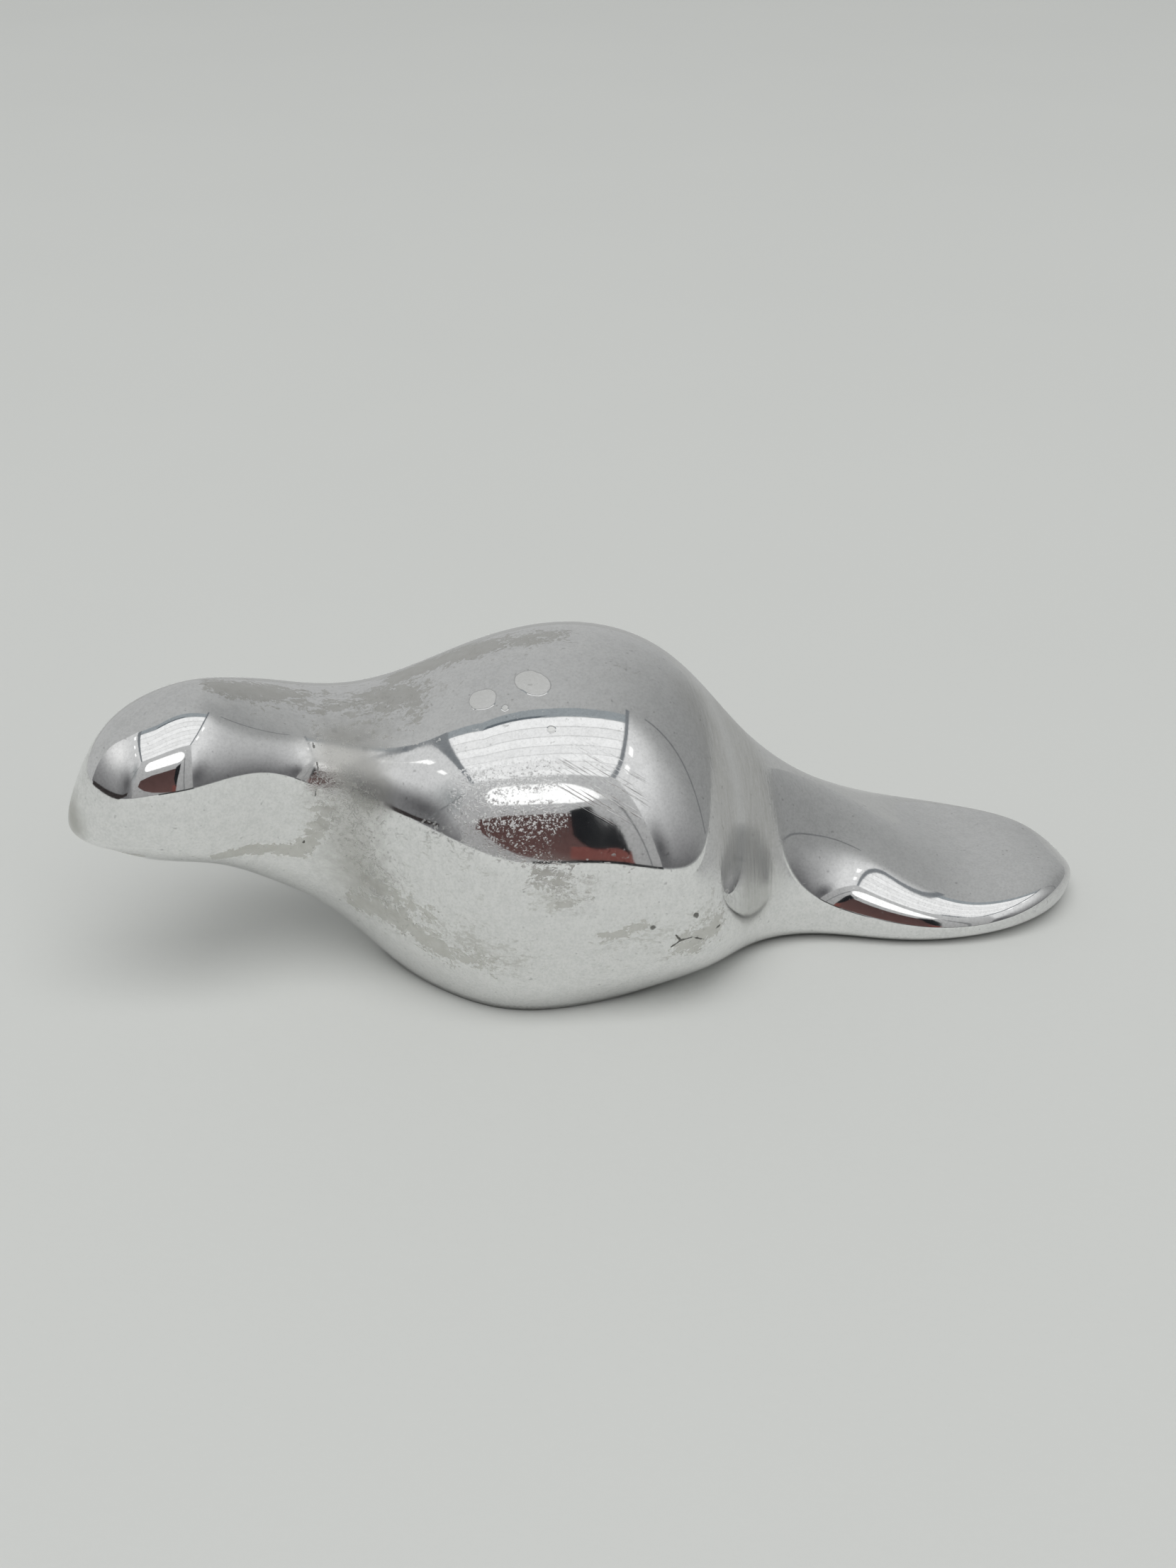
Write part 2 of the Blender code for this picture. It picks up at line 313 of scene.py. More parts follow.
def rails(count):
    """Cross-sections spaced evenly from nose to tail tip, as rows in the order of a section, x first."""
    rows = np.array(SECTIONS)
    rows[:, 0] = np.cumsum(rows[:, 0])
    length = rows[-1, 0] + TAIL_TIP_STEP
    nose = (0.0, 0.0, NOSE_HEIGHT, NOSE_HEIGHT, NOSE_HEIGHT, NOSE_SHIFT, rows[0, 6])
    tip = (length, 0.0, TAIL_TIP_HEIGHT, TAIL_TIP_HEIGHT, TAIL_TIP_HEIGHT, TAIL_TIP_SHIFT, rows[-1, 6])
    # Through each tip the sections go on with the sides, top and underside exchanged, which rounds it
    mirror = rows[:, [0, 1, 3, 2, 4, 5, 6]] * (1, -1, 1, 1, 1, 1, 1)
    before = mirror[:TIP_SECTIONS][::-1]
    behind = mirror[-TIP_SECTIONS:][::-1]
    rows = np.vstack([before, nose, rows, tip, behind])
    rows[:, 0] -= length / 2
    _, width, top, under, *_ = rows.T
    radius = (width + top - under) / 4
    run = np.hypot(np.diff(rows[:, 0]), np.diff(radius))
    knots = np.concatenate([[0.0], np.cumsum(run)])
    places = np.linspace(knots[TIP_SECTIONS], knots[-1 - TIP_SECTIONS], count)
    return natural_spline(knots, rows, places)


def section_curve(row, turns):
    """Y and Z of a cross-section at the given turns, in radians."""
    _, width, top, under, side, shift, flat = row
    swing = np.cos(turns)
    lift = np.sin(turns)
    across = shift + width / 2 * np.sign(swing) * np.abs(swing) ** (2 / flat)
    rise = side + (top - under) / 2 * lift + ((top + under) / 2 - side) * lift**2
    return across, rise


def ring_points(row, spokes):
    """Points spaced evenly round a cross-section, from the underside by way of +Y."""
    turns = np.linspace(-math.pi / 2, 1.5 * math.pi, FINE_STEPS + 1)
    across, rise = section_curve(row, turns)
    run = np.concatenate([[0.0], np.cumsum(np.hypot(np.diff(across), np.diff(rise)))])
    even = np.interp(np.linspace(0.0, run[-1], spokes, endpoint=False), run, turns)
    across, rise = section_curve(row, even)
    return np.column_stack([np.full(spokes, row[0]), across, rise])


def tip_point(row):
    """The point to which the cross-section at a tip shrinks."""
    x, _, top, _, _, shift, _ = row
    return x, shift, top


def lofted_mesh(rings, spokes, floor_height):
    """The body as a bmesh of even quads, unrolled for baking and cut off below the given height."""
    rows = rails(rings)
    inner = [ring_points(row, spokes) for row in rows[1:-1]]
    points = np.vstack([tip_point(rows[0]), *inner, tip_point(rows[-1])])
    last = 1 + (len(inner) - 1) * spokes
    faces = []
    unrolled = []
    for spoke in range(spokes):
        onward = (spoke + 1) % spokes
        low = BODY_SHARE * spoke / spokes
        high = BODY_SHARE * (spoke + 1) / spokes
        end = (rings - 2) / (rings - 1)
        faces.append((0, 1 + onward, 1 + spoke))
        unrolled += [0.0, low, 1 - end, high, 1 - end, low]
        faces.append((len(points) - 1, last + spoke, last + onward))
        unrolled += [1.0, low, end, low, end, high]
        for start in range(1, last, spokes):
            behind = start + spokes
            fore = (1 + start // spokes) / (rings - 1)
            aft = fore + 1 / (rings - 1)
            faces.append((start + spoke, start + onward, behind + onward, behind + spoke))
            unrolled += [fore, low, fore, high, aft, high, aft, low]
    mesh = bpy.data.meshes.new("loft")
    mesh.from_pydata(points.tolist(), [], faces)
    mesh.uv_layers.new(name=BAKE_MAP).data.foreach_set("uv", unrolled)
    body = bmesh.new()
    body.from_mesh(mesh)
    bpy.data.meshes.remove(mesh)
    everything = body.verts[:] + body.edges[:] + body.faces[:]
    plane = {"plane_co": (0, 0, floor_height), "plane_no": (0, 0, 1)}
    bmesh.ops.bisect_plane(body, geom=everything, dist=CUT_SNAP, clear_inner=True, **plane)
    for face in body.faces:
        face.smooth = True
    return body


def close_base(body):
    """Fills the flat underside with a sharp rim and returns its faces."""
    rim = [edge for edge in body.edges if edge.is_boundary]
    base = bmesh.ops.holes_fill(body, edges=rim)["faces"]
    for edge in rim:
        edge.smooth = False
    base = bmesh.ops.triangulate(body, faces=base)["faces"]
    layer = body.loops.layers.uv[BAKE_MAP]
    for face in base:
        for loop in face.loops:
            x, y, _ = loop.vert.co
            loop[layer].uv = (0.5 + x / BASE_SPAN, (1 + BODY_SHARE) / 2 + y / BASE_SPAN)
    return base


@functools.cache
def fine_rails():
    """The fine rows that places on the surface are read from."""
    return rails(FINE_STEPS)


def surface_point(along, turn):
    """A place on the surface by its distance from the nose and its turn in degrees."""
    rows = fine_rails()
    row = rows[np.argmin(np.abs(rows[:, 0] - rows[0, 0] - along))]
    across, rise = section_curve(row, np.array([math.radians(turn)]))
    return Vector((row[0], across[0], rise[0]))


def surface_frame(along, turn):
    """A place on the surface, with its directions towards the tail, round the body and outwards."""
    tailwards = surface_point(along + NEAR_STEP, turn) - surface_point(along - NEAR_STEP, turn)
    tailwards.normalize()
    round_about = surface_point(along, turn + NEAR_TURN) - surface_point(along, turn - NEAR_TURN)
    outwards = tailwards.cross(round_about)
    outwards.normalize()
    return surface_point(along, turn), tailwards, outwards.cross(tailwards), outwards


def worn_field(points, places):
    """The level along the middle of the places, 0 at their edge and down to -1 away from them."""
    field = np.full(len(points), -1.0)
    for place in places:
        path = [np.array(surface_point(*step)) for step in place["path"]]
        for start, end in zip(path, path[1:] or path):
            way = end - start
            share = np.clip((points - start) @ way / max(way @ way, LEAST_SQUARE), 0.0, 1.0)
            away = np.linalg.norm(points - start - share[:, None] * way, axis=1)
            field = np.maximum(field, place["level"] * (1 - away / place["reach"]))
    return field


def store_field(mesh, name, places):
    """Keeps a worn field on the vertices of a mesh for the shader."""
    points = np.empty(len(mesh.vertices) * 3, np.float32)
    mesh.vertices.foreach_get("co", points)
    field = worn_field(points.reshape(-1, 3).astype(float), places)
    attribute = mesh.attributes.new(name, "FLOAT", "POINT")
    attribute.data.foreach_set("value", field.astype(np.float32))


class Wire:
    """A shader socket that takes part in sums: each operator adds one Math node."""

    def __init__(self, bench, socket):
        self.bench = bench
        self.socket = socket

    def math(self, operation, *terms, clamp=False):
        settings = {"operation": operation, "use_clamp": clamp}
        return self.bench.add("ShaderNodeMath", settings, dict(enumerate(terms)))

    def __add__(self, other):
        return self.math("ADD", self, other)

    def __radd__(self, other):
        return self.math("ADD", other, self)

    def __sub__(self, other):
        return self.math("SUBTRACT", self, other)

    def __rsub__(self, other):
        return self.math("SUBTRACT", other, self)

    def __mul__(self, other):
        return self.math("MULTIPLY", self, other)

    def __rmul__(self, other):
        return self.math("MULTIPLY", other, self)

    def __truediv__(self, other):
        return self.math("DIVIDE", self, other)

    def __rtruediv__(self, other):
        return self.math("DIVIDE", other, self)

    def __abs__(self):
        return self.math("ABSOLUTE", self)

    def clamped(self):
        """The value kept between 0 and 1."""
        return self.math("ADD", self, 0.0, clamp=True)

    def above(self, level, gain):
        """How far the value is over a level, times a gain, kept between 0 and 1."""
        return ((self - level) * gain).clamped()

    def folded(self, crest):
        """The value folded back and forth between 0 and a crest."""
        return self.math("PINGPONG", self, crest)

    def at_most(self, other):
        return self.math("MINIMUM", self, other)

    def at_least(self, other):
        return self.math("MAXIMUM", self, other)


class Bench:
    """The node tree of one material or of the world."""

    def __init__(self, owner):
        self.owner = owner
        owner.use_nodes = True
        self.tree = owner.node_tree
        self.tree.nodes.clear()

    def add(self, kind, settings=None, sockets=None, out=0):
        """Adds a node, sets its settings, then its sockets' values or links, and gives one output."""
        node = self.tree.nodes.new(kind)
        for key, value in (settings or {}).items():
            setattr(node, key, value)
        for key, value in (sockets or {}).items():
            if isinstance(value, Wire):
                self.tree.links.new(value.socket, node.inputs[key])
            else:
                node.inputs[key].default_value = value
        return Wire(self, node.outputs[out]) if node.outputs else None

    def finish(self, shader, kind="ShaderNodeOutputMaterial"):
        """Sends a shader to the output and gives the finished material or world."""
        self.add(kind, None, {"Surface": shader})
        return self.owner

    def coated(self, sockets):
        """Ends a material in a Principled shader."""
        return self.finish(self.add("ShaderNodeBsdfPrincipled", None, sockets))

    def glow(self, colour):
        return self.add("ShaderNodeEmission", None, {"Color": colour})

    def clear_under(self, share, shader):
        """A shader by share, and nothing where the share is 0."""
        clear = self.add("ShaderNodeBsdfTransparent")
        return self.add("ShaderNodeMixShader", None, {0: share, 1: clear, 2: shader})

    def place(self):
        return self.add("ShaderNodeTexCoord", out="Object")

    def height(self, place):
        return self.add("ShaderNodeSeparateXYZ", None, {"Vector": place}, out="Z")

    def field(self, name):
        return self.add("ShaderNodeAttribute", {"attribute_name": name}, out="Fac")

    def vector(self, operation, *terms, out="Vector"):
        return self.add("ShaderNodeVectorMath", {"operation": operation}, dict(enumerate(terms)), out)

    def noise(self, place, scale, detail=2.0, roughness=0.5, distortion=0.0):
        sockets = {"Vector": place, "Scale": scale, "Detail": detail, "Roughness": roughness}
        return self.add("ShaderNodeTexNoise", None, {**sockets, "Distortion": distortion})

    def lines(self, place, lengthwise, crosswise):
        """Noise drawn out into fine lines: each direction carries its own scale."""
        far = self.along_way(place, lengthwise)
        near = self.along_way(place, crosswise)
        spread = self.add("ShaderNodeCombineXYZ", None, {"X": far, "Y": near})
        return self.noise(spread, 1.0, detail=3.0)

    def away(self, place, path):
        """The distance from a line through the given points."""
        distances = []
        for start, end in zip(path, path[1:] or path):
            way = end - start
            offset = self.vector("SUBTRACT", place, start)
            share = self.along_way(offset, way / max(way.length_squared, LEAST_SQUARE))
            sockets = {0: way, "Scale": share.clamped()}
            foot = self.add("ShaderNodeVectorMath", {"operation": "SCALE"}, sockets)
            distances.append(self.vector("DISTANCE", offset, foot, out="Value"))
        return functools.reduce(Wire.at_most, distances)

    def blend(self, share, first, second):
        """A colour between two, by share."""
        return self.add("ShaderNodeMix", {"data_type": "RGBA"}, {0: share, 6: first, 7: second}, out=2)

    def along_way(self, place, way):
        """How far a place is along a direction."""
        return self.vector("DOT_PRODUCT", place, way, out="Value")

    def bump(self, height, distance):
        sockets = {"Strength": 1.0, "Distance": distance, "Height": height}
        return self.add("ShaderNodeBump", None, sockets)


def material_bench(name):
    """The bench of a new material."""
    return Bench(bpy.data.materials.new(name))


def rgba(colour):
    """A colour with full alpha."""
    return (*colour, 1.0)


def darker(colour, share):
    """A colour taken down to a share of itself."""
    return rgba(channel * share for channel in colour)


def eased(share):
    """A share between 0 and 1 with soft ends."""
    share = share.clamped()
    return share * share * (3.0 - 2.0 * share)


def strongest(shares):
    """The largest of several shares."""
    return functools.reduce(Wire.at_least, shares)


def marked_paths(marks):
    """The marks, each after its path as points on the surface."""
    return [([surface_point(*step) for step in mark["path"]], mark) for mark in marks]


def blister_shares(bench, place):
    """How far each point is inside a blister, and how far on a blister's rim."""
    wobble = (bench.noise(place, scale=600.0, detail=2.0) - 0.5) * MARK_WOBBLE
    edges = []
    for path, blister in marked_paths(BLISTERS):
        edges.append(bench.away(place, path) + wobble - blister["radius"])
    inside = [(edge / -BLISTER_EDGE).clamped() for edge in edges]
    rims = [(1.0 - abs(edge) / BLISTER_RIM).clamped() for edge in edges]
    return strongest(inside), strongest(rims)


def crack_share(bench, place):
    """How far each point is in a pit or a crack."""
    wobble = (bench.noise(place, scale=1500.0, detail=3.0) - 0.5) * MARK_WOBBLE
    shares = []
    for path, crack in marked_paths(CRACKS):
        away = bench.away(place, path) + wobble
        shares.append((2.0 - away * 2.0 / crack["half_width"]).clamped())
    return strongest(shares)


def bare_share(bench, place, crumbs):
    """How far the lacquer is gone: ragged patches drawn out lengthwise, with islands left standing."""
    lengthwise = bench.vector("MULTIPLY", place, (0.5, 1.0, 1.0))
    ragged = bench.noise(lengthwise, scale=760.0, detail=8.0, roughness=0.68, distortion=0.6)
    edge = bench.field("rubbed") + (ragged - 0.5) * 2.6 + (crumbs - 0.5) * 0.9 - 0.10
    return (edge * 7.0).clamped()


def fleck_share(bench, place, cloud):
    """How far the lacquer has broken up into fine flecks."""
    lengthwise = bench.vector("MULTIPLY", place, (0.6, 1.0, 1.0))
    flecks = bench.noise(lengthwise, scale=1500.0, detail=6.0, roughness=0.72, distortion=0.4)
    worn = bench.field("flecked").clamped() * (cloud * 1.8 - 0.3).clamped()
    return ((flecks - 0.66 + worn * 0.30) * 9.0).clamped()


def crinkle_share(bench, place, tone):
    """Fine curled edges where the lacquer has crazed."""
    waves = bench.noise(place, scale=420.0, detail=5.0, roughness=0.62, distortion=1.0)
    edges = (1.0 - (waves * 5.0).folded(0.5) * 9.0).clamped()
    return (bench.field("crinkled") * 1.6 + (tone - 0.5) * 1.5).clamped() * edges


def polished_metal(settings):
    """Mirror polish, dulled where the lacquer has gone, pitted where it fails, ground underneath."""
    bench = material_bench("polished_aluminium")
    place = bench.place()
    crumbs = bench.noise(place, CRUMB_SCALE, detail=3.0)
    cloud = bench.noise(place, scale=110.0, detail=5.0)
    tone = bench.noise(place, scale=700.0, detail=4.0)
    bare = bare_share(bench, place, crumbs)
    flecks = fleck_share(bench, place, cloud)
    crinkles = crinkle_share(bench, place, tone)
    blister, rim = blister_shares(bench, place)
    crack = crack_share(bench, place)
    specks = bench.noise(place, scale=1300.0, detail=1.0).above(0.73, gain=20.0)
    dust = bench.noise(place, scale=4800.0, detail=1.0).above(0.62, gain=8.0)

    crust = bench.noise(place, scale=1400.0, detail=5.0, roughness=0.7).above(0.46, gain=7.0)
    pitting = (bench.field("pitted") * 2.4 + (cloud - 0.5) * 0.8).clamped() * crust
    grain = bench.noise(place, scale=3600.0, detail=2.0, roughness=0.6).above(0.5, gain=5.0)
    peel = bench.noise(place, scale=800.0, detail=2.0)
    hazed = eased(bench.field("hazed") * 1.4 + (tone - 0.5) * 0.4)
    streaked = (bench.field("streaked") * 1.8).clamped()
    streaks = bench.lines(place, (2600.0, 0.0, 0.0), (0.0, 260.0, 260.0))
    streaking = streaked * (streaks * 2.8 - 0.9).clamped()
    hairs = bench.lines(place, (70.0, -20.0, -60.0), (2600.0, 1200.0, 3400.0))
    scratching = (bench.field("scratched") * 2.0).clamped() * (hairs * 9.0 - 5.2).clamped()
    ground = bench.field("ground")
    grinding = bench.lines(place, (60.0, 30.0, 0.0), (-1500.0, 3400.0, 0.0))
    # Painted contact shadow: the metal is darkened towards the floor, up to the foot line, as shade
    # where the base meets the floor
    foot_shade_ramp = 1.1 - bench.height(place) / settings.foot_shade_line + (crumbs - 0.5) * 0.6
    foot_shade = foot_shade_ramp.clamped() * (1.0 - ground)

    uneven = (tone * 2.0 + crumbs * 3.2 - 2.2).clamped()
    colour = bench.blend(uneven * 0.7, rgba(settings.polished), darker(settings.polished, 0.86))
    dulled = (flecks * 0.75).at_least(hazed * 0.95).at_least(crinkles * 0.9)
    dulled = dulled.at_least(streaked * 0.35 + streaking * 0.35)
    dulled = dulled.at_least(bare * (0.6 + tone * 0.6).clamped())
    colour = bench.blend(dulled, colour, rgba(settings.bare))
    colour = bench.blend(blister * (0.35 + crumbs * 1.1).clamped(), colour, rgba(settings.blister))
    colour = bench.blend(rim * 0.24, colour, rgba(settings.stain_and_shade))
    # Dark marks: stain in pits, specks and dust, haze, stain and painted shade along the cracks, and the
    # painted contact shadow at the foot
    darkening = strongest((crack * 0.9, specks * 0.25, dust * 0.12, foot_shade * 0.95, hazed * 0.22))
    colour = bench.blend(darkening, colour, rgba(settings.stain_and_shade))
    colour = bench.blend(ground * (0.4 + grinding * 0.6), colour, rgba(settings.bare))

    roughness = settings.polish_roughness + cloud * 0.03 + pitting * 0.06 + hazed * 0.22
    roughness = roughness + streaked * 0.16 + blister * 0.25 + flecks * 0.10
    roughness = roughness + bare * settings.bare_roughness + ground * 0.30
    height = grain * pitting * 1.3 + peel * 0.04 - bare * 0.5 + bare * crumbs * 0.5 - flecks * 0.15
    height = height + rim * 0.8 + blister * crumbs * 0.6 - crack * 1.5 + scratching * 0.9
    height = height + streaking * 0.4 + crinkles * 0.8 + ground * grinding * 1.2
    sockets = {
        "Base Color": colour,
        "Metallic": 1.0 - blister * 0.30,
        "Roughness": roughness,
        "Normal": bench.bump(height, distance=0.00003),
    }
    return bench.coated(sockets)


def clear_lacquer(settings):
    """A faint clear skin that turns milky at its torn edges and over the hazed places."""
    bench = material_bench("clear_lacquer")
    crumbs = bench.noise(bench.place(), CRUMB_SCALE, detail=3.0)
    edge = (1.0 - abs(bench.field("rubbed") + 0.20) * 4.0).clamped()
    hazed = (bench.field("hazed") * 2.0).clamped()
    milk = settings.haze + edge * crumbs * 0.08 + hazed * crumbs * 0.06
    return bench.coated({"Base Color": rgba(settings.tint), "Roughness": 0.12, "Alpha": milk})


def lifted_lacquer(settings):
    """Chips of lacquer that have come up: cloudy, patchily dirty and half clear."""
    bench = material_bench("lifted_lacquer")
    darkening = bench.noise(bench.place(), scale=3000.0, detail=4.0)
    share = (darkening * 1.8 - 0.4).clamped()
    sockets = {
        "Base Color": bench.blend(share, rgba(settings.chip), rgba(settings.chip_dirt)),
        "Roughness": 0.3 + darkening * 0.2,
        "Alpha": 0.70 + darkening * 0.25,
        "Normal": bench.bump(darkening, distance=0.00002),
    }
    return bench.coated(sockets)


def glowing(name):
    """A studio panel of one tone."""
    bench = material_bench(name)
    return bench.finish(bench.glow(rgba(TONES[name])))


def shaded(name, low, high, rise, spots=(), fade=None):
    """A studio panel that shades from the floor up, with soft spots and, with a fade, a clear back."""
    bench = material_bench(name)
    place = bench.place()
    colour = bench.blend((bench.height(place) / rise).clamped(), rgba(low), rgba(high))
    for spot in spots:
        away = bench.vector("DISTANCE", place, in_room(*spot["centre"]), out="Value")
        colour = bench.blend(eased(1.0 - away / spot["reach"]), colour, rgba(spot["colour"]))
    shader = bench.glow(colour)
    if fade:
        front = bench.along_way(place, in_room(0.0, 1.0, 0.0))
        shader = bench.clear_under(eased(front / fade), shader)
    return bench.finish(shader)


def surround_tone(settings):
    """The far surround: paler on the left, greyer on the right."""
    bench = material_bench("surround")
    side = bench.along_way(bench.place(), in_room(1.0 / SURROUND_RADIUS, 0.0, 0.0))
    colour = bench.blend(eased(side), rgba(settings.surround_left), rgba(settings.surround_right))
    return bench.finish(bench.glow(colour))


def shade_tone(settings):
    """Painted shadow for the polish: greyer floor behind the ornament and beside its tail, fading to the
    front.
    """
    bench = material_bench("floor_shade")
    behind = bench.along_way(bench.place(), FLOOR_SHADE_WAY)
    grey = bench.glow(rgba(settings.floor_shade))
    return bench.finish(bench.clear_under(eased(behind / FLOOR_SHADE_FADE), grey))


def pale_board(settings):
    """The floor: a pale matt board, a little uneven."""
    bench = material_bench("pale_board")
    place = bench.place()
    cloud = bench.noise(place, scale=9.0, detail=5.0)
    fibre = bench.noise(place, scale=900.0, detail=3.0)
    share = cloud * 0.7 + fibre * 0.3
    colour = bench.blend(share, rgba(settings.floor_colour), darker(settings.floor_colour, 0.96))
    normal = bench.bump(fibre, distance=0.00002)
    return bench.coated({"Base Color": colour, "Roughness": 0.75, "Normal": normal})


def add_object(name, mesh, material):
    """Links a new object with its mesh and material."""
    mesh.materials.append(material)
    piece = bpy.data.objects.new(name, mesh)
    bpy.context.scene.collection.objects.link(piece)
    return piece


def finished_mesh(name, form):
    """Turns a bmesh into a mesh and lets go of it."""
    mesh = bpy.data.meshes.new(name)
    form.to_mesh(mesh)
    form.free()
    return mesh


def colour_property(name, description, default):
    return FloatVectorProperty(name=name, description=description, subtype="COLOR", default=default)


def share_property(name, description, default):
    return FloatProperty(name=name, description=description, subtype="FACTOR", default=default)


def length_property(name, description, default):
    words = {"name": name, "description": description}
    return FloatProperty(unit="LENGTH", precision=5, default=default, **words)


def angle_property(name, description, degrees):
    words = {"name": name, "description": description}
    return FloatProperty(subtype="ANGLE", default=math.radians(degrees), **words)


class CastingSettings(bpy.types.PropertyGroup):
    """The casting's mesh and finish"""

    rings: IntProperty(name="Rings", description="Rings from nose to tail tip", default=300, min=40)
    spokes: IntProperty(name="Spokes", description="Points round each ring", default=208, min=24)
    polished: colour_property("Polished metal", "Colour of the mirror polish", (0.865, 0.868, 0.862))
    bare: colour_property("Bare metal", "Colour where the lacquer is gone", (0.61, 0.605, 0.575))
    blister: colour_property("Blister", "Colour of powdery metal under a blister", (0.70, 0.70, 0.685))
    # Dark stain of rims, pits and cracks, also used as painted shade along the cracks and as the painted
    # contact shadow at the foot
    stain_and_shade: colour_property("Stain", "Colour of rims, pits, cracks and grime", (0.10, 0.098, 0.09))
    # Height to which the painted contact shadow at the foot reaches
    foot_shade_line: length_property("Foot line", "Height of the grime", 0.0014)
    polish_roughness: share_property("Polish roughness", "Roughness of the polish", 0.03)
    bare_roughness: share_property("Bare roughness", "Added where the metal is bare", 0.28)


class FilmSettings(bpy.types.PropertyGroup):
    """The lacquer film and its chips"""

    rings: IntProperty(name="Rings", description="Rings from nose to tail tip", default=200, min=40)
    spokes: IntProperty(name="Spokes", description="Points round each ring", default=144, min=24)
    lift: length_property("Lift", "Distance from the metal", 0.00008)
    foot: length_property("Foot", "Height of the lower edge", 0.0020)
    tint: colour_property("Tint", "Colour of the lacquer", (0.90, 0.90, 0.87))
    haze: share_property("Haze", "How milky the lacquer is", 0.005)
    chip: colour_property("Chip", "Colour of a lifted chip", (0.42, 0.42, 0.40))
    chip_dirt: colour_property("Chip dirt", "Colour of the dirt on a chip", (0.14, 0.135, 0.12))
    chip_thickness: length_property("Chip thickness", "Thickness of a chip", 0.00008)


class StageSettings(bpy.types.PropertyGroup):
    """The floor, the studio, the lamp and the camera"""

    floor_colour: colour_property("Floor", "Colour of the floor", (0.635, 0.645, 0.625))
    floor_shade: colour_property("Floor shade", "Colour of the floor behind", (0.42, 0.425, 0.42))
    surround_left: colour_property("Surround left", "Colour of the far surround", (0.475, 0.48, 0.48))
    surround_right: colour_property("Surround right", "Colour of its right side", (0.28, 0.285, 0.285))
    world_low: colour_property("World low", "Colour of the light from the horizon", (0.50, 0.51, 0.505))
    world_high: colour_property("World high", "Colour of the light from above", (0.325, 0.33, 0.33))
    floor_size: length_property("Floor size", "Width of the floor", 8.0)
    lamp_power: FloatProperty(name="Lamp", description="Power of the lamp", unit="POWER", default=246.0)
    lamp_size: length_property("Lamp size", "Width of the lamp", 5.0)
    lamp_height: length_property("Lamp height", "From the floor to the lamp", 4.7)
    lamp_front: length_property("Lamp to the front", "From the ornament to the lamp, to -Y", 2.8)
    lamp_left: length_property("Lamp to the left", "From the ornament to the lamp, to -X", 0.5)
    camera_elevation: angle_property("Elevation", "Height of the camera above the horizon", 26.2)
    camera_azimuth: angle_property("Azimuth", "Turn of the camera round the ornament", -13.2)
    camera_distance: length_property("Distance", "From the camera to its target", 0.300)
    camera_target: FloatVectorProperty(
        name="Target",
        description="What the camera points at",
        subtype="XYZ",
        unit="LENGTH",
        default=(-0.0015, 0.0, 0.0236),
    )
    lens: FloatProperty(
        name="Lens", description="Focal length", subtype="DISTANCE_CAMERA", default=50.94
    )


class ORNAMENT_OT_casting(bpy.types.Operator):
    """Builds the casting, mirror polished above and ground flat underneath"""

    bl_idname = "ornament.casting"
    bl_label = "Casting"

    def execute(self, context):
        settings = context.scene.ornament_casting
        body = lofted_mesh(settings.rings, settings.spokes, floor_height=0.0)
        ground = body.faces.layers.float.new("ground")
        for face in close_base(body):
            face[ground] = 1.0
        mesh = finished_mesh("casting_look", body)
        for name, places in WORN.items():
            store_field(mesh, name, places)
        piece = add_object("casting_look", mesh, polished_metal(settings))
        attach(piece, "root")
        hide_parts("casting")
        return {"FINISHED"}


class ORNAMENT_OT_lacquer_film(bpy.types.Operator):
    """Builds the clear lacquer skin, open where it has come off"""

    bl_idname = "ornament.lacquer_film"
    bl_label = "Lacquer film"

    def execute(self, context):
        settings = context.scene.ornament_film
        skin = lofted_mesh(settings.rings, settings.spokes, settings.foot)
        skin.normal_update()
        for vertex in skin.verts:
            vertex.co += vertex.normal * settings.lift
        centres = np.array([face.calc_center_median() for face in skin.faces])
        spots = [Vector(centre * TEAR_SCALE) for centre in centres]
        torn = [noise.fractal(spot, TEAR_FALLOFF, TEAR_STEP, TEAR_OCTAVES) for spot in spots]
        bare = worn_field(centres, RUBS) + np.array(torn) * TEAR_DEPTH > TEAR_LEVEL
        gone = [face for face, off in zip(skin.faces, bare) if off]
        bmesh.ops.delete(skin, geom=gone, context="FACES")
        mesh = finished_mesh("lacquer_film_look", skin)
        for name in ("rubbed", "hazed"):
            store_field(mesh, name, WORN[name])
        piece = add_object("lacquer_film_look", mesh, clear_lacquer(settings))
        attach(piece, "root")
        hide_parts("lacquer_film")
        return {"FINISHED"}


